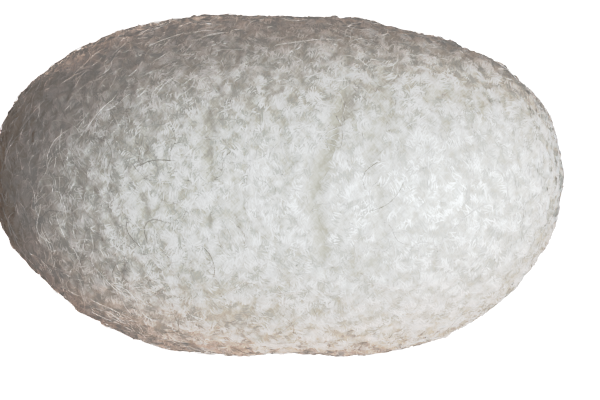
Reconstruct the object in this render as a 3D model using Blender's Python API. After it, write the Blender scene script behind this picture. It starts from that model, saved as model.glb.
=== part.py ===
"""A silk cocoon lying on its side, at its real size, in metres, with +Z up.

Its long axis is X. The origin is at the middle of its length and width, at the level of the
small flat spot on its belly that it rests on.
"""

import math

import bmesh
import bpy
from mathutils import Vector

# Driving dimensions, in metres.
LENGTH = 0.0350
WIDTH = 0.0210
HEIGHT = 0.0200
BELLY_FLAT_DEPTH = 0.0004

# The long outline follows |along|^e + |radius|^e = 1. An exponent of 2 is an ellipse, and more
# is blunter.
BLUNTNESS = 2.25

# How far both ends swing towards +Y, in metres.
BOW = 0.00045

# Each icosphere division splits every triangle in four: 5 divisions make 5,120 triangles.
SHELL_DIVISIONS = 5

# Soft swells of the shell, and hollows where the height is negative. Each one has the direction
# from the middle that it faces, its spread on the unit sphere, and its height as a share of the
# distance from the middle.
SWELLS = (
    (Vector((-0.76, -0.65, 0.00)), 0.26, -0.040),  # slanting corner, -X end, -Y side
    (Vector((-0.40, 0.92, 0.00)), 0.20, -0.014),  # slack flank, -X half, +Y side
    (Vector((0.52, 0.84, 0.00)), 0.26, -0.046),  # slack flank, +X half, +Y side
    (Vector((0.98, 0.12, 0.00)), 0.14, 0.004),  # blunt +X end
    (Vector((0.50, -0.86, 0.00)), 0.26, 0.020),  # full flank, +X half, -Y side
    (Vector((0.07, 1.00, 0.00)), 0.24, -0.048),  # slight waist, +Y side
    (Vector((-0.02, -1.00, 0.00)), 0.24, -0.048),  # slight waist, -Y side
    (Vector((-0.35, 0.20, 0.92)), 0.40, 0.020),  # rounded back of the -X half
    (Vector((0.40, -0.15, 0.90)), 0.40, 0.024),  # rounded back of the +X half
)

SILK_COLOUR = (0.80, 0.79, 0.74, 1.0)
SILK_ROUGHNESS = 0.55
SILK_SHEEN = 0.35


def silk_material():
    """Off-white silk with a soft sheen."""
    material = bpy.data.materials.new("silk")
    material.use_nodes = True
    shader = material.node_tree.nodes["Principled BSDF"]
    shader.inputs["Base Color"].default_value = SILK_COLOUR
    shader.inputs["Roughness"].default_value = SILK_ROUGHNESS
    shader.inputs["Metallic"].default_value = 0.0
    shader.inputs["Sheen Weight"].default_value = SILK_SHEEN
    return material


def shell_point(direction):
    """The point of the shell that lies in a direction from its middle, for a shell 2 across."""
    along = abs(direction.x)
    radius = math.hypot(direction.y, direction.z)
    reach = (along**BLUNTNESS + radius**BLUNTNESS) ** (-1.0 / BLUNTNESS)
    for centre, spread, height in SWELLS:
        distance = (direction - centre.normalized()).length
        reach *= 1.0 + height * math.exp(-((distance / spread) ** 2))
    return direction * reach


def fit_to_box(shell, sides):
    """Stretch the shell to its length, width and height, centred on the origin."""
    for axis, side in enumerate(sides):
        lowest = min(vert.co[axis] for vert in shell.verts)
        highest = max(vert.co[axis] for vert in shell.verts)
        for vert in shell.verts:
            share = (vert.co[axis] - lowest) / (highest - lowest)
            vert.co[axis] = (share - 0.5) * side


def press_belly_flat(shell):
    """Stand the shell with its belly just below the resting level, and press that part flat."""
    lift = (HEIGHT - BELLY_FLAT_DEPTH) / 2
    bmesh.ops.translate(shell, vec=(0.0, 0.0, lift), verts=shell.verts)
    for vert in shell.verts:
        vert.co.z = max(vert.co.z, 0.0)


def cocoon(collection):
    """The closed shell, spun in one piece."""
    shell = bmesh.new()
    bmesh.ops.create_icosphere(shell, subdivisions=SHELL_DIVISIONS, radius=1.0)
    bow_share = BOW / (WIDTH / 2)
    for vert in shell.verts:
        vert.co = shell_point(vert.co.normalized())
        vert.co.y += bow_share * vert.co.x**2
    fit_to_box(shell, (LENGTH, WIDTH, HEIGHT + BELLY_FLAT_DEPTH))
    press_belly_flat(shell)

    mesh = bpy.data.meshes.new("cocoon")
    shell.to_mesh(mesh)
    shell.free()
    mesh.shade_smooth()
    mesh.materials.append(silk_material())
    piece = bpy.data.objects.new("cocoon", mesh)
    collection.objects.link(piece)


def main():
    for old in list(bpy.data.objects):
        bpy.data.objects.remove(old)
    collection = bpy.data.collections.new("silk_cocoon")
    bpy.context.scene.collection.children.link(collection)
    cocoon(collection)


main()
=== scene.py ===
"""A silk cocoon lying on its side: the crinkled shell, the thread wound over it and the floss.

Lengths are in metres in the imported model's frame: X along the cocoon, Z up, the resting spot at
Z = 0.
"""

import math

import bmesh
import bpy
import numpy as np
from bpy.props import FloatProperty, FloatVectorProperty, IntProperty, PointerProperty
from bpy.types import Operator, Panel, PropertyGroup
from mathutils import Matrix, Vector, noise
from mathutils.bvhtree import BVHTree


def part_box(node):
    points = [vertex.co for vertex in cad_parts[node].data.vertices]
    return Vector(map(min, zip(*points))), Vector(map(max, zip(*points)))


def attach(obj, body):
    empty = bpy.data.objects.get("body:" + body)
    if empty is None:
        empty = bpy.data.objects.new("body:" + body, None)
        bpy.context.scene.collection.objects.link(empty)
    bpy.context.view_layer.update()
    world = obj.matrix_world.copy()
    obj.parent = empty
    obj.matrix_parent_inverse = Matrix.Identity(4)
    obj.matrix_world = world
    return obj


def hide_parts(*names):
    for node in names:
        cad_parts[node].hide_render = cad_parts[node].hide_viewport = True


bl_info = {
    "name": "Silk Cocoon",
    "version": (1, 0, 0),
    "blender": (4, 5, 0),
    "location": "3D View > Sidebar > Cocoon",
    "description": "Builds a silk cocoon's crinkled shell, its wound thread and its loose floss",
    "category": "Object",
}

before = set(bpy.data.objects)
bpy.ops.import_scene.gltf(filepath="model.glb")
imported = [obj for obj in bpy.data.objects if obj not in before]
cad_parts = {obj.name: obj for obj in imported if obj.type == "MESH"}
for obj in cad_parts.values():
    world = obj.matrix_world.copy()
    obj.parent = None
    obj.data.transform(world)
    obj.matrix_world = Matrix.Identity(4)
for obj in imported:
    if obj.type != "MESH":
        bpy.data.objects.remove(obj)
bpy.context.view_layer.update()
LOWEST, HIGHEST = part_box("cocoon")
MIDDLE = (Vector(LOWEST) + Vector(HIGHEST)) / 2
HALF_WIDTH = (HIGHEST[1] - LOWEST[1]) / 2
HALF_LENGTH = (HIGHEST[0] - LOWEST[0]) / 2

MM = 0.001
ALONG = Vector((1.0, 0.0, 0.0))


# ---------------------------------------------------------------- settings


def length_setting(name, description, default, top=0.1):
    """A setting in metres."""
    return FloatProperty(
        name=name,
        description=description,
        default=default,
        min=0.0,
        max=top,
        precision=5,
        unit="LENGTH",
        subtype="DISTANCE",
    )


def colour_setting(name, description, default):
    """A colour setting."""
    return FloatVectorProperty(
        name=name, description=description, default=default, size=3, min=0.0, max=1.0, subtype="COLOR"
    )


def count_setting(name, description, default):
    """A setting that counts things."""
    return IntProperty(name=name, description=description, default=default, min=1)


def power_setting(name, description, default):
    """A light's power in watts."""
    return FloatProperty(name=name, description=description, default=default, min=0.0, unit="POWER")


class CocoonShell(PropertyGroup):
    """The crinkled shell."""

    lump_size: length_setting("Lump size", "Width of the shell's broad lumps", 3.4 * MM)
    lump_height: length_setting("Lump height", "How far the lumps stand out", 0.24 * MM)
    crinkle_width: length_setting("Crinkle width", "Width of a crinkle along the cocoon", 0.8 * MM)
    crinkle_length: length_setting("Crinkle length", "Length of a crinkle round the cocoon", 1.3 * MM)
    crinkle_height: length_setting("Crinkle height", "Depth of the creases between crinkles", 0.25 * MM)
    pucker_size: length_setting("Pucker size", "Width of the fine puckers", 0.45 * MM)
    pucker_height: length_setting("Pucker height", "Depth of the fine puckers", 0.13 * MM)
    groove_width: length_setting("Groove width", "Width of the long grooves", 0.62 * MM)
    groove_depth: length_setting("Groove depth", "Depth of the long grooves", 0.22 * MM)
    silk: colour_setting("Silk", "Colour of the raised silk", (0.87, 0.88, 0.88))
    # This grey is also painted crease shade: the creases and grooves are greyed towards it, besides the
    # real gum of the patches.
    gum_and_shade: colour_setting("Gum", "Colour of the gummed silk deep in the creases", (0.63, 0.62, 0.58))


class CocoonThread(PropertyGroup):
    """The wound thread, which shows on the shell as tufts of short strands."""

    tufts: count_setting("Tufts", "Tufts of strands tried in each piece", 3380)
    shortest: length_setting("Shortest", "Length of the shortest tufts", 0.26 * MM)
    longest: length_setting("Longest", "Length of the longest tufts", 0.74 * MM)
    radius: length_setting("Radius", "Radius of the thread", 0.046 * MM, top=0.001)
    silk: colour_setting("Silk", "Colour of the clean thread", (0.975, 0.99, 1.0))
    # The thread's gum colour is also the painted shade that strands get in creases.
    gum_and_shade: colour_setting("Gum", "Colour of the thread where gum holds it", (0.62, 0.625, 0.605))


class CocoonFloss(PropertyGroup):
    """The loose strands on the outside."""

    strands: count_setting("Strands", "Number of loose strands tried", 6500)
    shortest: length_setting("Shortest", "Length of the shortest strands", 0.5 * MM)
    longest: length_setting("Longest", "Length of the longest strands", 3.6 * MM)
    lift: length_setting("Lift", "How far a long strand stands off the shell", 0.16 * MM)
    radius: length_setting("Radius", "Radius of a strand", 0.019 * MM, top=0.001)
    silk: colour_setting("Silk", "Colour of the floss", (0.95, 0.96, 0.97))
    # The dark strands are partly gummed silk and partly painted shadow, in place of the shadow lines of
    # lifted floss.
    gum_and_shade: colour_setting("Gum", "Colour of the few dark strands", (0.42, 0.40, 0.37))


class CocoonStage(PropertyGroup):
    """The floor, the lights and the camera."""

    floor: colour_setting("Floor", "Colour of the floor", (0.45, 0.45, 0.45))
    surround: colour_setting("Surround", "Colour of the dim light from above", (0.072, 0.040, 0.023))
    below: colour_setting("Below", "Colour of the dim light from low down all round", (0.42, 0.245, 0.15))
    under: colour_setting("Under", "Colour of the dim light from straight below", (0.34, 0.315, 0.29))
    key_power: power_setting("Key light", "Power of the large soft light", 1.99)
    key_size: length_setting("Key size", "Side of the large soft light", 0.40, top=2.0)
    fill_power: power_setting("Fill light", "Power of the warm light from below the front", 0.22)


# ---------------------------------------------------------------- materials


class Value:
    """One output of some nodes. Arithmetic on it adds Math nodes."""

    def __init__(self, graph, socket):
        self.graph = graph
        self.socket = socket

    def maths(self, operation, first, second):
        """The result of a Math node."""
        return self.graph.node("ShaderNodeMath", {"operation": operation}, {0: first, 1: second})

    def __add__(self, other):
        return self.maths("ADD", self, other)

    __radd__ = __add__

    def __mul__(self, other):
        return self.maths("MULTIPLY", self, other)

    __rmul__ = __mul__

    def __sub__(self, other):
        return self.maths("SUBTRACT", self, other)

    def __rsub__(self, other):
        return self.maths("SUBTRACT", other, self)


class Graph:
    """The nodes of one new material or world, round its own shader."""

    def __init__(self, owner, shader="Principled BSDF"):
        self.owner = owner
        owner.use_nodes = True
        self.tree = owner.node_tree
        self.shader = self.tree.nodes[shader]

    def feed(self, socket, value):
        """Link a value to an input socket, or set the socket to a plain number or colour."""
        if isinstance(value, Value):
            self.tree.links.new(value.socket, socket)
        elif isinstance(value, (int, float)):
            socket.default_value = value
        else:
            socket.default_value = tuple(value) + (1.0,) * (len(socket.default_value) - len(value))

    def node(self, kind, settings=None, inputs=None, output=0):
        """Add a node: its settings come first, then the values or links of its sockets."""
        made = self.tree.nodes.new(kind)
        for name, setting in (settings or {}).items():
            setattr(made, name, setting)
        for name, value in (inputs or {}).items():
            self.feed(made.inputs[name], value)
        return Value(self, made.outputs[output])

    def finish(self, inputs):
        """Set the shader's inputs, and return the material or world."""
        for name, value in inputs.items():
            self.feed(self.shader.inputs[name], value)
        return self.owner

    def mix(self, share, first, second):
        """A mix of two colours."""
        settings = {"data_type": "RGBA", "clamp_factor": True}
        return self.node("ShaderNodeMix", settings, {0: share, 6: first, 7: second}, output=2)

    def attribute(self, name):
        """A number stored on the mesh."""
        return self.node("ShaderNodeAttribute", {"attribute_name": name}, output="Fac")

    def rise(self, value, low, high):
        """How far a value has risen from low to high, from 0 to 1."""
        return self.node("ShaderNodeMapRange", None, {"Value": value, "From Min": low, "From Max": high})

    def speckle(self, size, detail, stretch=(1.0, 1.0, 1.0), turn=0.0):
        """Soft noise from 0 to 1 with blotches of this size, stretched and turned about Z."""
        place = self.node("ShaderNodeTexCoord", output="Object")
        laid = {0: place, "Rotation": (0.0, 0.0, turn), "Scale": [size * factor for factor in stretch]}
        spot = self.node("ShaderNodeMapping", {"vector_type": "TEXTURE"}, laid)
        return self.node("ShaderNodeTexNoise", None, {"Vector": spot, "Scale": 1.0, "Detail": detail})


# The patches in which gum lies on the silk, and the fine felted fibres of the shell, which cross.
PATCH_SIZE = 0.6 * MM
PATCH_DETAIL = 3.0
FIBRE_SIZE = 0.08 * MM
FIBRE_DETAIL = 2.0
FIBRE_STRETCH = (1.0, 4.5, 4.5)
FIBRE_TURNS = (math.radians(38), math.radians(-44))
FELT_DEPTH = 0.03 * MM

# How much grey gum shows: on the shell everywhere, in patches and between fibres, and on the strands in
# patches; in the creases the same grey is painted crease shade, tinted like gum.
GUM_EVERYWHERE = 0.15
SHADE_AND_GUM_IN_CREASES = 0.7
GUM_IN_PATCHES = 1.6
GUM_BETWEEN_FIBRES = 1.2
STRAND_GUM_IN_PATCHES = 2.0


def shell_silk(settings):
    """Felted silk: fine crossing fibres, greyer with gum in patches, and greyer in the creases with
    painted crease shade tinted like gum.
    """
    graph = Graph(bpy.data.materials.new("shell_silk"))
    crease_shade_and_gum = graph.attribute("crease_shade_and_gum")
    patches = graph.speckle(PATCH_SIZE, PATCH_DETAIL)
    one_way = graph.speckle(FIBRE_SIZE, FIBRE_DETAIL, FIBRE_STRETCH, FIBRE_TURNS[0])
    other_way = graph.speckle(FIBRE_SIZE, FIBRE_DETAIL, FIBRE_STRETCH, FIBRE_TURNS[1])
    fibres = one_way + other_way
    # Painted shade: the creases and grooves are greyed towards the gum colour, beside the real gum of the
    # patches.
    gum_and_shade = GUM_EVERYWHERE + SHADE_AND_GUM_IN_CREASES * crease_shade_and_gum
    gum_and_shade = gum_and_shade - GUM_IN_PATCHES * (patches - 0.5) - GUM_BETWEEN_FIBRES * (fibres - 1.0)
    felt = graph.node("ShaderNodeBump", None, {"Strength": 0.55, "Distance": FELT_DEPTH, "Height": fibres})
    return graph.finish(
        {
            "Base Color": graph.mix(gum_and_shade, settings.silk, settings.gum_and_shade),
            "Roughness": 0.62 - 0.16 * one_way,
            "Normal": felt,
            "Sheen Weight": 0.25,
            "Sheen Roughness": 0.4,
        }
    )


def thread_silk(name, settings, roughness):
    """Silk strands whose tone and gloss change from strand to strand; the tone also holds painted crease
    shade.
    """
    graph = Graph(bpy.data.materials.new(name))
    tone = graph.attribute("tone")
    patches = graph.speckle(PATCH_SIZE, PATCH_DETAIL)
    gum_and_shade = tone - STRAND_GUM_IN_PATCHES * (patches - 0.5)
    return graph.finish(
        {
            "Base Color": graph.mix(gum_and_shade, settings.silk, settings.gum_and_shade),
            "Roughness": roughness + 0.1 * tone,
            "Metallic": 0.05,
            "Specular IOR Level": 0.6,
            "Sheen Weight": 0.15,
        }
    )


# ---------------------------------------------------------------- shell


# How far light that spreads through the silk evens out the shading of its relief.
SHELL_SPREAD = 0.66
THREAD_SPREAD = 0.84

# How often each of the solid's triangles is cut, and how close corners are merged.
SHELL_CUTS = 5
MERGE_DISTANCE = 1e-6

# How far the whole shell is drawn in, so that its crinkles stay about the solid's surface.
DRAWN_IN = 0.13 * MM

# The creases, measured in crinkles: how far and how slowly they wander, how round they are, how
# much finer the second set is and how deep beside the first, and the mean height of both. The
# seed is for the vector noise, which would otherwise be seeded by the clock.
WANDER_SEED = 1
WANDER = 0.55
WANDER_PITCH = 0.7
CREASE_ROUNDING = 0.003
FOLD_PITCH = 1.9
FOLD_SHARE = 0.45
MEAN_HEIGHT = 0.30

# Where in the noise the second set of creases and the puckers start.
FOLD_START = Vector((7.3, 2.1, 4.9))
PUCKER_START = Vector((1.7, 9.2, 3.3))

# How fast the painted crease shade, tinted like gum, thins out up the sides of the first and the second
# creases, and how much of the second ones is clear at the least.
RIDGE_THINNING = 3.2
FOLD_THINNING = 2.0
FOLD_CLEAR = 0.4

# How much painted shade, tinted like gum, the bottom of the deepest groove gets, where the bottom of a
# crease gets 1.
GROOVE_SHADE_AND_GUM = 1.3

# The long grooves of the upper side: how deep each is as a share of the deepest, and its points
# (X, Y) in millimetres from the middle.
GROOVES = (
    (1.0, ((4.1, 5.6), (3.5, 3.9), (3.3, 2.9), (2.5, 1.2), (1.9, -0.9), (2.4, -2.2), (2.6, -4.0))),
    (0.6, ((6.2, 6.7), (6.4, 5.3), (6.2, 3.7), (5.4, 1.3), (6.0, -0.6), (6.3, -2.8), (5.7, -4.9))),
    (0.6, ((9.0, 5.2), (10.0, 5.6), (11.3, 5.7))),
    (0.7, ((-3.6, 4.8), (-4.3, 2.6), (-4.0, 0.4))),
    (0.5, ((-2.4, 0.0), (-2.3, -1.8), (-1.9, -3.4))),
    (0.5, ((0.2, 2.6), (0.4, 1.4), (0.7, 0.4))),
    (0.5, ((-7.6, 3.4), (-8.2, 1.2), (-7.9, -1.6))),
)


def add_piece(name, mesh, material):
    """A finished piece at the origin, riding with the cocoon in the place of its solid."""
    mesh.materials.append(material)
    piece = bpy.data.objects.new(name, mesh)
    bpy.context.scene.collection.objects.link(piece)
    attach(piece, "root")
    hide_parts("cocoon")
    return piece


def softly(facing, outward, spread):
    """Normals that shade relief as silk does: nearer to how the cocoon as a whole faces."""
    mixed = (1.0 - spread) * facing + spread * outward
    return mixed / np.linalg.norm(mixed, axis=1, keepdims=True)


def smooth_shell(cuts):
    """The cocoon's solid as one merged bmesh, with every triangle cut finer and rounded."""
    shell = bmesh.new()
    shell.from_mesh(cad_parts["cocoon"].data)
    bmesh.ops.remove_doubles(shell, verts=shell.verts, dist=MERGE_DISTANCE)
    if cuts:
        bmesh.ops.subdivide_edges(shell, edges=shell.edges, cuts=cuts, use_grid_fill=True)
    every_way = {"use_axis_x": True, "use_axis_y": True, "use_axis_z": True}
    for _ in range(cuts):
        bmesh.ops.smooth_vert(shell, verts=shell.verts, factor=0.5, **every_way)
    shell.normal_update()
    return shell


def groove_share(spot, width):
    """How deep a spot of the upper side lies in the nearest groove, from 0 to 1."""
    if spot.z < MIDDLE.z:
        return 0.0
    deepest = 0.0
    for depth, groove in GROOVES:
        for start, end in zip(groove, groove[1:]):
            first = Vector(start) * MM
            run = Vector(end) * MM - first
            share = (spot.xy - first).dot(run) / run.length_squared
            away = (spot.xy - first - run * min(max(share, 0.0), 1.0)).length
            deepest = max(deepest, depth * math.exp(-((away / width) ** 2)))
    return deepest


def crease(place):
    """How high a spot stands beside the creases of a noise, which are where it crosses zero."""
    return math.sqrt(noise.noise(place) ** 2 + CREASE_ROUNDING)


def crinkle(spot, settings):
    """How far the silk stands out at a spot of the smooth shell, and how deep it lies in a crease, which
    sets its painted crease shade.
    """
    width, length = settings.crinkle_width, settings.crinkle_length
    lumps = noise.noise(spot / settings.lump_size)
    grain = Vector((spot.x / width, spot.y / length, spot.z / length))
    grain += WANDER * noise.noise_vector(grain * WANDER_PITCH)
    ridge = crease(grain)
    fold = crease(grain * FOLD_PITCH + FOLD_START)
    pucker = noise.noise(grain * (width / settings.pucker_size) + PUCKER_START)
    groove = groove_share(spot, settings.groove_width)
    out = (
        settings.lump_height * lumps
        + settings.crinkle_height * (ridge + FOLD_SHARE * fold - MEAN_HEIGHT)
        - DRAWN_IN
        + settings.pucker_height * pucker
        - settings.groove_depth * groove
    )
    # Painted crease shade, tinted like gum: strongest at the bottom of a crease or groove.
    crease_shade_and_gum = 1.0 - min(1.0, RIDGE_THINNING * ridge) * min(1.0, FOLD_THINNING * fold + FOLD_CLEAR)
    return out, max(crease_shade_and_gum, GROOVE_SHADE_AND_GUM * groove)


class COCOON_OT_shell(Operator):
    """Make the crinkled shell around the cocoon's solid."""

    bl_idname = "cocoon.shell"
    bl_label = "Shell"
    bl_options = {"REGISTER", "UNDO"}

    def execute(self, context):
        settings = context.scene.cocoon_shell
        noise.seed_set(WANDER_SEED)
        shell = smooth_shell(SHELL_CUTS)
        crease_shades_and_gum = []
        moves = []
        for vert in shell.verts:
            out, crease_shade_and_gum = crinkle(vert.co, settings)
            moves.append(vert.normal * out)
            crease_shades_and_gum.append(crease_shade_and_gum)
        outward = np.array([vert.normal for vert in shell.verts])
        for vert, move in zip(shell.verts, moves):
            vert.co += move
            vert.co.z = max(vert.co.z, 0.0)
        mesh = bpy.data.meshes.new("silk_shell")
        shell.to_mesh(mesh)
        shell.free()
        mesh.shade_smooth()
        # The painted crease shade, tinted like gum, that the shell's material reads.
        mesh.attributes.new("crease_shade_and_gum", "FLOAT", "POINT").data.foreach_set("value", crease_shades_and_gum)
        facing = np.empty(3 * len(mesh.vertices))
        mesh.vertex_normals.foreach_get("vector", facing)
        soft = softly(facing.reshape(-1, 3), outward, SHELL_SPREAD)
        mesh.normals_split_custom_set_from_vertices(soft)
        add_piece("silk_shell", mesh, shell_silk(settings))
        return {"FINISHED"}


# ---------------------------------------------------------------- strands


# How far above the smooth solid the search for the crinkled shell starts.
SEARCH_HEIGHT = 3.0 * MM

# Keeps a length from being zero before it is divided by.
TINY = 1e-12

# How the thread runs: how far it leans to the cocoon's length at the sides, the size and strength
# of the swirls in it, how near a tip of the cocoon it no longer has a way round, and how fast a
# strand's curl comes and goes along it.
SIDE_LEAN = 0.75
SWIRLS = ((2.2 * MM, 0.9), (0.8 * MM, 1.2))
TIP_LIMIT = 0.3
CURL_PITCH = 5.0

# A strand's cross-section: the places of its three corners, and the width of its tips as a share.
CORNER_ANGLES = np.radians((30.0, 150.0, 270.0))
TIP_SHARE = 0.35

# The bake's map: cells in a row, and where a cell's contents start and end inside it.
CELLS_IN_ROW = 256
CELL_START, CELL_END = 0.05, 0.95

# The thread: its pieces and the seed of the first, and the roughness of its gloss.
THREAD_PIECES = 4
THREAD_SEED = 100
THREAD_ROUGHNESS = 0.58

# Where no tuft is laid: in the grooves, and on some of the underside.
CLEAR_WIDTH = 0.7 * MM
CLEAR_SHARE = 0.45
UNDERSIDE = -0.5
UNDERSIDE_GAPS = 0.4

# A tuft: its strands, the way between them, and how much the tufts and their strands are turned
# and bent, in radians.
TUFT_STRANDS = 4
STRAND_GAP = 0.14 * MM
STRAND_GAP_SCATTER = 0.03 * MM
TUFT_SCATTER = math.radians(27)
STRAND_SCATTER = math.radians(20)
TUFT_BEND = 0.45
TUFT_CURL = 0.2
STRAND_BEND = 0.2

# A strand of a tuft: its length and how far it slides, as shares of the tuft's length, its width
# as a share of the thread's, and the way between its points.
STRAND_LENGTHS = (0.6, 1.2)
STRAND_SLIDE = 0.2
STRAND_WIDTHS = (0.6, 1.25)
STRAND_STEP = 0.25 * MM

# How far a strand stands off the shell or sinks in, and how far its ends go back into it.
STRAND_LIFT = 0.03 * MM
END_DIP = 0.04 * MM

# How far strands roll over: most a little, and a few far enough to catch the light.
SMALL_ROLL = math.radians(9)
LARGE_ROLL = math.radians(30)
SMALL_ROLL_SHARE = 0.92

# The tones of whole tufts, where 0 is clean silk and 1 is gum, and the painted shade, tinted like gum,
# that a crease adds.
TUFT_TONES = (-1.05, 0.65)
STRAND_TONE = 0.12
CREASE_SHADE_TONE = 1.5

# The floss: its seed and roughness, how common it is everywhere, how far from the middle towards
# the -X end it is commonest, and how its strands are turned, rolled and bent.
FLOSS_SEED = 500
FLOSS_ROUGHNESS = 0.32
FLOSS_EVERYWHERE = 0.4
FLOSS_FULL_AT = 8 * MM
FLOSS_SCATTER = math.radians(55)
FLOSS_ROLL = math.radians(35)
FLOSS_BEND = 1.0
FLOSS_CURL = 0.4
FLOSS_WIDTHS = (0.75, 1.25)
FLOSS_STEP = 0.3 * MM

# How much commoner short strands are than long ones: 1 would make them even.
SHORT_FAVOUR = 2.3

# How many strands are dark, how far up the range of lengths those are, and what tone they have. The dark
# strands are partly gummed silk and partly painted shadow, in place of the shadow lines of lifted floss.
DARK_SHARE = 0.015
DARK_LENGTHS = (0.6, 1.0)
DARK_TONE = 2.0

# How a strand stands off the thread: its lift as a share of the most, the length that has its
# full lift, how full its arch is, and the clearance under it.
LIFT_SHARES = (0.1, 1.0)
FULL_LIFT_LENGTH = 4 * MM
ARCH_FULLNESS = 0.7
CLEARANCE = 0.02 * MM


class Ground:
    """What strands are laid on: the smooth solid, and the crinkled shell over it."""

    def __init__(self):
        piece = bpy.data.objects.get("silk_shell")
        if piece is None:
            raise RuntimeError("Make the shell first: the strands lie on it.")
        solid = smooth_shell(cuts=0)
        self.under = BVHTree.FromBMesh(solid)
        self.triangles = np.array([[vert.co for vert in face.verts] for face in solid.faces])
        self.areas = np.array([face.calc_area() for face in solid.faces])
        solid.free()
        crinkled = bmesh.new()
        crinkled.from_mesh(piece.data)
        self.over = BVHTree.FromBMesh(crinkled)
        crinkled.free()
        # The painted crease shade, tinted like gum, averaged over each of the shell's triangles.
        crease_shade_and_gum = np.empty(len(piece.data.vertices))
        piece.data.attributes["crease_shade_and_gum"].data.foreach_get("value", crease_shade_and_gum)
        corners = np.empty(len(piece.data.loops), dtype=int)
        piece.data.loops.foreach_get("vertex_index", corners)
        self.crease_shade_and_gum = crease_shade_and_gum[corners.reshape(-1, 3)].mean(axis=1)

    def scatter(self, rng, count):
        """Spots scattered evenly over the solid, each with the normal there."""
        for index in rng.choice(len(self.areas), size=count, p=self.areas / self.areas.sum()):
            spot = Vector(rng.dirichlet((1.0, 1.0, 1.0)) @ self.triangles[index])
            yield spot, self.under.find_nearest(spot)[1]

    def lay(self, points, radius, lift):
        """Lay flat points on the crinkled shell, and say how deep they lie in its creases, which sets
        their painted crease shade.
        """
        feet, outs, rises, depths = [], [], [], []
        for point in points:
            foot, normal, _, _ = self.under.find_nearest(Vector(point))
            hit, _, face, gap = self.over.ray_cast(foot + normal * SEARCH_HEIGHT, -normal)
            feet.append(foot)
            outs.append(normal)
            rises.append(SEARCH_HEIGHT - gap if hit else 0.0)
            depths.append(self.crease_shade_and_gum[face] if hit else 0.0)
        taut = softened(np.array(rises))
        outs = np.stack([softened(axis) for axis in np.array(outs).T], 1)
        outs /= np.linalg.norm(outs, axis=1, keepdims=True)
        path = np.array(feet) + outs * (taut + radius + lift)[:, None]
        path[:, 2] = np.maximum(path[:, 2], radius)
        return path, outs, softened(np.array(depths))


def softened(row):
    """A row of numbers with each averaged over its neighbours."""
    kernel = np.array((1.0, 2.0, 1.0)) / 4.0
    return np.convolve(np.pad(row, 1, mode="edge"), kernel, mode="valid")


def wind_direction(spot, normal, rng, scatter):
    """The way the thread runs at a spot: round the cocoon, leaning with the side, and scattered."""
    around = normal.cross(ALONG)
    if around.length < TIP_LIMIT:
        around = Vector((0.0, 1.0, 0.0))
    lean = SIDE_LEAN * (spot.y - MIDDLE.y) / HALF_WIDTH
    main = (around.normalized() + lean * ALONG).normalized()
    main = (main - normal * main.dot(normal)).normalized()
    across = normal.cross(main)
    swirl = sum(strength * noise.noise(spot / size) for size, strength in SWIRLS)
    angle = swirl + rng.normal(0.0, scatter)
    return main * math.cos(angle) + across * math.sin(angle)


def strand_rings(path, outs, radius, roll):
    """A three-sided strand's corners along a path, and how it faces: outwards, rolled a little over."""
    runs = np.gradient(path, axis=0)
    runs /= np.linalg.norm(runs, axis=1, keepdims=True) + TINY
    level = outs - runs * (outs * runs).sum(1, keepdims=True)
    level /= np.linalg.norm(level, axis=1, keepdims=True) + TINY
    up = math.cos(roll) * level + math.sin(roll) * np.cross(runs, level)
    side = np.cross(runs, up)
    width = np.full(len(path), radius)
    width[[0, -1]] *= TIP_SHARE
    corners = []
    for angle in CORNER_ANGLES:
        corners.append(path + width[:, None] * (math.cos(angle) * side + math.sin(angle) * up))
    return np.stack(corners, 1), softly(up, outs, THREAD_SPREAD)


def bake_places(segments):
    """Where each side of each segment lies on the bake's map: rows of small upright cells."""
    rows = math.ceil(segments / CELLS_IN_ROW) * 3
    index = np.arange(segments)
    left = (index % CELLS_IN_ROW) / CELLS_IN_ROW
    low = (index // CELLS_IN_ROW * 3)[:, None] + np.arange(3)
    return left, low / rows, 1.0 / CELLS_IN_ROW, 1.0 / rows


def strand_faces(strands):
    """The corner numbers of the strands' side quads and end caps, and the segment of each cap."""
    side = np.arange(3)
    after = (side + 1) % 3
    quads, caps, cap_segments = [], [], []
    first, segment = 0, 0
    for rings in strands:
        count = len(rings)
        base = first + 3 * np.arange(count - 1)[:, None]
        quads.append(np.stack([base + side, base + 3 + side, base + 3 + after, base + after], 2))
        last = first + 3 * (count - 1)
        caps.append((first, first + 1, first + 2))
        caps.append((last + 2, last + 1, last))
        cap_segments += [segment, segment + count - 2]
        first += 3 * count
        segment += count - 1
    return np.concatenate(quads), np.array(caps), cap_segments


def strand_map(quads, cap_segments):
    """The bake's map: a place for each corner of the quads, then of the caps."""
    left, low, wide, tall = bake_places(len(quads))
    corner_u = np.array((CELL_START, CELL_END, CELL_END, CELL_START)) * wide
    corner_v = np.array((CELL_START, CELL_START, CELL_END, CELL_END)) * tall
    quad_u = np.broadcast_to(left[:, None, None] + corner_u, quads.shape)
    quad_v = low[:, :, None] + corner_v
    cap_u = left[cap_segments][:, None] + np.array((CELL_START, CELL_END, 0.5)) * wide
    cap_v = low[cap_segments][:, :1] + np.array((CELL_START, CELL_START, CELL_END)) * tall
    quad_map = np.stack([quad_u, quad_v], 3).reshape(-1, 2)
    cap_map = np.stack([cap_u, cap_v], 2).reshape(-1, 2)
    return np.concatenate([quad_map, cap_map])


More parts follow.
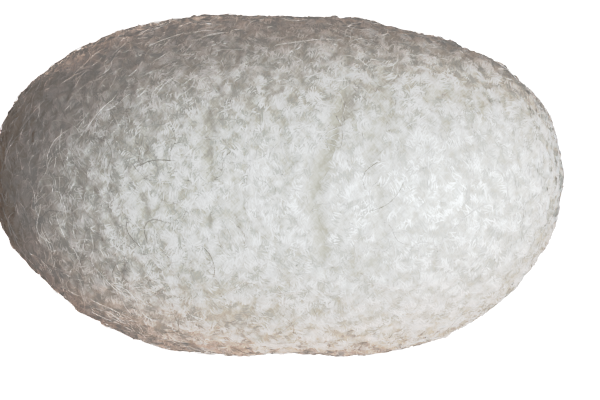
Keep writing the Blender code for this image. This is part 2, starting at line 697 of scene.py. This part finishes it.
def strand_mesh(name, strands, facings, tones):
    """One mesh of closed three-sided strands. Each strand is an array of rings of 3 corners."""
    corners = np.concatenate([rings.reshape(-1, 3) for rings in strands])
    quads, caps, cap_segments = strand_faces(strands)
    loops = np.concatenate([quads.ravel(), caps.ravel()])
    sizes = np.concatenate([np.full(quads.size // 4, 4), np.full(len(caps), 3)])
    starts = np.concatenate([[0], np.cumsum(sizes)[:-1]])
    mesh = bpy.data.meshes.new(name)
    mesh.vertices.add(len(corners))
    mesh.vertices.foreach_set("co", corners.astype(np.float32).ravel())
    mesh.loops.add(len(loops))
    mesh.loops.foreach_set("vertex_index", loops.astype(np.int32))
    mesh.polygons.add(len(starts))
    mesh.polygons.foreach_set("loop_start", starts.astype(np.int32))
    mesh.update(calc_edges=True)
    places = strand_map(quads, cap_segments).astype(np.float32)
    mesh.uv_layers.new(name="OFBake").data.foreach_set("uv", places.ravel())
    shades = np.repeat(np.concatenate(tones), 3)
    mesh.attributes.new("tone", "FLOAT", "POINT").data.foreach_set("value", shades)
    mesh.shade_smooth()
    if facings:
        mesh.normals_split_custom_set_from_vertices(np.repeat(np.concatenate(facings), 3, axis=0))
    return mesh


def add_strands(name, mesh, material):
    """A piece of strands, too fine to shade the shell or light it."""
    piece = add_piece(name, mesh, material)
    piece.visible_shadow = False
    piece.visible_diffuse = False


def arc(size, count, bend, curl):
    """A flat curve of this length through count points: a bend with a curl on it, about its middle."""
    share = np.linspace(-0.5, 0.5, count)
    heading = bend * share + curl * np.sin(share * CURL_PITCH)
    pace = size / (count - 1)
    along = np.cumsum(np.cos(heading)) * pace
    across = np.cumsum(np.sin(heading)) * pace
    return along - along.mean(), across - across.mean()


def flat_points(spot, main, across, along_by, across_by):
    """Points on the flat that touches the solid at a spot."""
    return np.array(spot) + np.outer(along_by, main) + np.outer(across_by, across)


def tuft(ground, spot, normal, rng, settings):
    """Short strands side by side that come out of the shell and go back into it."""
    main = wind_direction(spot, normal, rng, TUFT_SCATTER)
    across = normal.cross(main)
    length = settings.shortest * (settings.longest / settings.shortest) ** rng.uniform()
    bend, curl = rng.normal(0.0, TUFT_BEND), rng.normal(0.0, TUFT_CURL)
    shade = rng.uniform(*TUFT_TONES)
    for number in range(TUFT_STRANDS):
        size = length * rng.uniform(*STRAND_LENGTHS)
        count = max(3, round(size / STRAND_STEP) + 1)
        along_by, across_by = arc(size, count, bend + rng.normal(0.0, STRAND_BEND), curl)
        turn = rng.normal(0.0, STRAND_SCATTER)
        slide = rng.uniform(-STRAND_SLIDE, STRAND_SLIDE) * length
        along_by, across_by = (
            along_by * math.cos(turn) - across_by * math.sin(turn) + slide,
            along_by * math.sin(turn) + across_by * math.cos(turn),
        )
        from_middle = number - (TUFT_STRANDS - 1) / 2
        across_by = across_by + from_middle * STRAND_GAP + rng.normal(0.0, STRAND_GAP_SCATTER)
        lift = rng.uniform(-STRAND_LIFT, STRAND_LIFT) - END_DIP * np.linspace(-1.0, 1.0, count) ** 4
        flat = flat_points(spot, main, across, along_by, across_by)
        path, outs, depths = ground.lay(flat, settings.radius, lift)
        widest = SMALL_ROLL if rng.uniform() < SMALL_ROLL_SHARE else LARGE_ROLL
        roll = rng.uniform(-1.0, 1.0) * widest
        rings, facing = strand_rings(path, outs, settings.radius * rng.uniform(*STRAND_WIDTHS), roll)
        # Painted shade: a strand lying in a crease is greyed towards the gum colour.
        yield rings, facing, shade + rng.uniform(-STRAND_TONE, STRAND_TONE) + CREASE_SHADE_TONE * depths


def is_bare(spot, normal, rng):
    """Whether no tuft is laid at a spot: in a groove, or at random on the underside."""
    if groove_share(spot, CLEAR_WIDTH) > CLEAR_SHARE:
        return True
    return normal.z < UNDERSIDE and rng.uniform() < UNDERSIDE_GAPS


class COCOON_OT_thread(Operator):
    """Lay the wound thread over the shell in tufts of short strands."""

    bl_idname = "cocoon.thread"
    bl_label = "Wound thread"
    bl_options = {"REGISTER", "UNDO"}

    def execute(self, context):
        settings = context.scene.cocoon_thread
        ground = Ground()
        material = thread_silk("thread_silk", settings, THREAD_ROUGHNESS)
        for number in range(THREAD_PIECES):
            rng = np.random.default_rng(THREAD_SEED + number)
            strands, facings, tones = [], [], []
            for spot, normal in ground.scatter(rng, settings.tufts):
                if is_bare(spot, normal, rng):
                    continue
                for rings, facing, tone in tuft(ground, spot, normal, rng, settings):
                    strands.append(rings)
                    facings.append(facing)
                    tones.append(tone)
            name = f"wound_thread_{number + 1}"
            add_strands(name, strand_mesh(name, strands, facings, tones), material)
        return {"FINISHED"}


def loose_strand(ground, spot, normal, rng, settings):
    """One loose strand, arched over the thread, and its tone."""
    # Dark strands: partly gummed silk, partly painted shadow in place of the shadow lines of lifted floss.
    dark = rng.uniform() < DARK_SHARE
    share = rng.uniform(*DARK_LENGTHS) if dark else rng.uniform() ** SHORT_FAVOUR
    size = settings.shortest * (settings.longest / settings.shortest) ** share
    count = max(5, int(size / FLOSS_STEP))
    main = wind_direction(spot, normal, rng, FLOSS_SCATTER)
    along_by, across_by = arc(size, count, rng.normal(0.0, FLOSS_BEND), rng.normal(0.0, FLOSS_CURL))
    flat = flat_points(spot, main, normal.cross(main), along_by, across_by)
    lift = settings.lift * rng.uniform(*LIFT_SHARES) * min(1.0, size / FULL_LIFT_LENGTH)
    arch = np.cos(np.linspace(-0.5, 0.5, count) * math.pi).clip(0.0) ** ARCH_FULLNESS
    path, outs, _ = ground.lay(flat, settings.radius, lift * arch + CLEARANCE)
    roll = rng.uniform(-1.0, 1.0) * FLOSS_ROLL
    rings, _ = strand_rings(path, outs, settings.radius * rng.uniform(*FLOSS_WIDTHS), roll)
    return rings, np.full(count, DARK_TONE if dark else 0.0)


class COCOON_OT_floss(Operator):
    """Lay the loose floss over the thread."""

    bl_idname = "cocoon.floss"
    bl_label = "Loose floss"
    bl_options = {"REGISTER", "UNDO"}

    def execute(self, context):
        settings = context.scene.cocoon_floss
        ground = Ground()
        rng = np.random.default_rng(FLOSS_SEED)
        strands, tones = [], []
        for spot, normal in ground.scatter(rng, settings.strands):
            loose = min(max(-spot.x / FLOSS_FULL_AT, 0.0), 1.0)
            if rng.uniform() > FLOSS_EVERYWHERE + (1.0 - FLOSS_EVERYWHERE) * loose:
                continue
            rings, tone = loose_strand(ground, spot, normal, rng, settings)
            strands.append(rings)
            tones.append(tone)
        material = thread_silk("floss_silk", settings, FLOSS_ROUGHNESS)
        add_strands("loose_floss", strand_mesh("loose_floss", strands, None, tones), material)
        return {"FINISHED"}


# ---------------------------------------------------------------- stage


# The photograph's frame, and where the cocoon's box has its middle in it, in its pixels.
FRAME_WIDTH, FRAME_HEIGHT = 600, 400
BOX_MIDDLE_X, BOX_MIDDLE_Y = 278.5, 185.5
COCOON_PIXELS = 569
LENS = 180.0

# What a surface's light becomes in the picture, both as shares of plain white.
TONE_CURVE = ((0.15, 0.112), (0.30, 0.203), (0.45, 0.382), (0.58, 0.588), (0.68, 0.682), (0.80, 0.758))
WHITE_BECOMES = 0.90

# The large light at the upper right: its direction from the cocoon, its distance and its colour.
KEY_DIRECTION = (0.61, -0.185, 1.0)
KEY_DISTANCE = 0.384
KEY_COLOUR = (0.93, 0.98, 1.0)

# The lights from below: each one's name, direction, share of the fill light's power and colour.
LOW_LIGHTS = (
    ("low_light", (0.1, -1.0, -0.60), 1.0, (1.0, 0.73, 0.60)),
    ("back_light", (-0.4, 0.7, -1.0), 1.25, (1.0, 0.93, 0.88)),
    ("under_light", (0.0, 0.0, -1.0), 1.15, (0.90, 0.96, 1.0)),
)
LOW_DISTANCE = 0.30
LOW_SIZE = 0.15

# The floor's radius and own glow, and the glow of the white backdrop round it.
FLOOR_RADIUS = 1.6
FLOOR_GLOW = 1.25
BACKDROP_GLOW = 1.35

# The heights, from -1 straight down to 1 straight up, between which the dim light changes.
UNDER_TO_BELOW = (-0.8, -0.3)
BELOW_TO_ABOVE = (-0.3, 0.3)


def soft_light(name, direction, distance, size, power, colour):
    """A square area light that shines at the cocoon's middle from a direction."""
    lamp = bpy.data.lights.new(name, "AREA")
    lamp.size = size
    lamp.energy = power
    lamp.color = colour
    light = bpy.data.objects.new(name, lamp)
    bpy.context.scene.collection.objects.link(light)
    light.location = MIDDLE + Vector(direction).normalized() * distance
    light.rotation_euler = (MIDDLE - light.location).to_track_quat("-Z", "Y").to_euler()


class COCOON_OT_stage(Operator):
    """Set the floor, the lights and the camera that looks down on the cocoon."""

    bl_idname = "cocoon.stage"
    bl_label = "Floor, lights and camera"
    bl_options = {"REGISTER", "UNDO"}

    def execute(self, context):
        scene = context.scene
        settings = scene.cocoon_stage
        self.floor(settings)
        self.surround(scene, settings)
        size, power = settings.key_size, settings.key_power
        soft_light("key_light", KEY_DIRECTION, KEY_DISTANCE, size, power, KEY_COLOUR)
        for name, direction, share, colour in LOW_LIGHTS:
            soft_light(name, direction, LOW_DISTANCE, LOW_SIZE, share * settings.fill_power, colour)
        self.camera(scene)
        self.tone(scene)
        return {"FINISHED"}

    def floor(self, settings):
        """A pale floor that doesn't keep the low lights from the cocoon."""
        disc = bmesh.new()
        bmesh.ops.create_circle(disc, cap_ends=True, segments=64, radius=FLOOR_RADIUS)
        mesh = bpy.data.meshes.new("floor")
        disc.to_mesh(mesh)
        disc.free()
        paper = Graph(bpy.data.materials.new("floor_paper")).finish(
            {
                "Base Color": settings.floor,
                "Roughness": 0.9,
                "Emission Color": (1.0, 1.0, 1.0),
                "Emission Strength": FLOOR_GLOW,
            }
        )
        mesh.materials.append(paper)
        piece = bpy.data.objects.new("floor", mesh)
        bpy.context.scene.collection.objects.link(piece)
        piece.visible_diffuse = False
        piece.visible_glossy = False
        piece.visible_shadow = False

    def surround(self, scene, settings):
        """Dim warm light from all round, in front of a white backdrop that only the camera sees."""
        graph = Graph(bpy.data.worlds.new("surround"), "Background")
        way = graph.node("ShaderNodeTexCoord", output="Generated")
        height = graph.node("ShaderNodeSeparateXYZ", None, {0: way}, output="Z")
        low = graph.mix(graph.rise(height, *UNDER_TO_BELOW), settings.under, settings.below)
        glow = graph.mix(graph.rise(height, *BELOW_TO_ABOVE), low, settings.surround)
        scene.world = graph.finish({"Color": glow})
        light = Value(graph, graph.shader.outputs["Background"])
        white = {"Color": (1.0, 1.0, 1.0), "Strength": BACKDROP_GLOW}
        backdrop = graph.node("ShaderNodeBackground", None, white)
        seen = graph.node("ShaderNodeLightPath", output="Is Camera Ray")
        either = graph.node("ShaderNodeMixShader", None, {0: seen, 1: light, 2: backdrop})
        graph.feed(graph.tree.nodes["World Output"].inputs["Surface"], either)

    def camera(self, scene):
        """A long lens straight above, which frames the cocoon as the photograph does."""
        pixel = 2 * HALF_LENGTH / COCOON_PIXELS
        lens = bpy.data.cameras.new("camera")
        lens.lens = LENS
        camera = bpy.data.objects.new("camera", lens)
        scene.collection.objects.link(camera)
        distance = FRAME_WIDTH * pixel * lens.lens / lens.sensor_width
        right = (FRAME_WIDTH / 2 - BOX_MIDDLE_X) * pixel
        down = (FRAME_HEIGHT / 2 - BOX_MIDDLE_Y) * pixel
        camera.location = MIDDLE + Vector((right, -down, distance))
        scene.camera = camera

    def tone(self, scene):
        """Develop the picture as the photograph is: deeper shade and held-back lights."""
        view = scene.view_settings
        view.view_transform = "Standard"
        view.use_curve_mapping = True
        curve = view.curve_mapping.curves[3]
        curve.points[0].location = (0.0, 0.0)
        curve.points[1].location = (1.0, WHITE_BECOMES)
        for scene_light, shown in TONE_CURVE:
            curve.points.new(scene_light, shown)
        view.curve_mapping.update()


# ---------------------------------------------------------------- add-on


class COCOON_PT_panel(Panel):
    """The cocoon's settings and the buttons that build it."""

    bl_label = "Silk Cocoon"
    bl_space_type = "VIEW_3D"
    bl_region_type = "UI"
    bl_category = "Cocoon"

    def draw(self, context):
        scene = context.scene
        steps = (
            (scene.cocoon_shell, "cocoon.shell"),
            (scene.cocoon_thread, "cocoon.thread"),
            (scene.cocoon_floss, "cocoon.floss"),
            (scene.cocoon_stage, "cocoon.stage"),
        )
        for settings, operator in steps:
            box = self.layout.box()
            for name in settings.__annotations__:
                box.prop(settings, name)
            box.operator(operator)


SETTINGS = {
    "cocoon_shell": CocoonShell,
    "cocoon_thread": CocoonThread,
    "cocoon_floss": CocoonFloss,
    "cocoon_stage": CocoonStage,
}
OTHERS = (COCOON_OT_shell, COCOON_OT_thread, COCOON_OT_floss, COCOON_OT_stage, COCOON_PT_panel)


def register():
    """Add the settings, the buttons and the panel to Blender."""
    for name, group in SETTINGS.items():
        bpy.utils.register_class(group)
        setattr(bpy.types.Scene, name, PointerProperty(type=group))
    for kind in OTHERS:
        bpy.utils.register_class(kind)


def unregister():
    """Take them away again."""
    for kind in reversed(OTHERS):
        bpy.utils.unregister_class(kind)
    for name, group in SETTINGS.items():
        delattr(bpy.types.Scene, name)
        bpy.utils.unregister_class(group)


def main():
    """Build the cocoon and its stage."""
    register()
    bpy.ops.cocoon.shell()
    bpy.ops.cocoon.thread()
    bpy.ops.cocoon.floss()
    bpy.ops.cocoon.stage()
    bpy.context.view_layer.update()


if __name__ == "__main__":
    main()
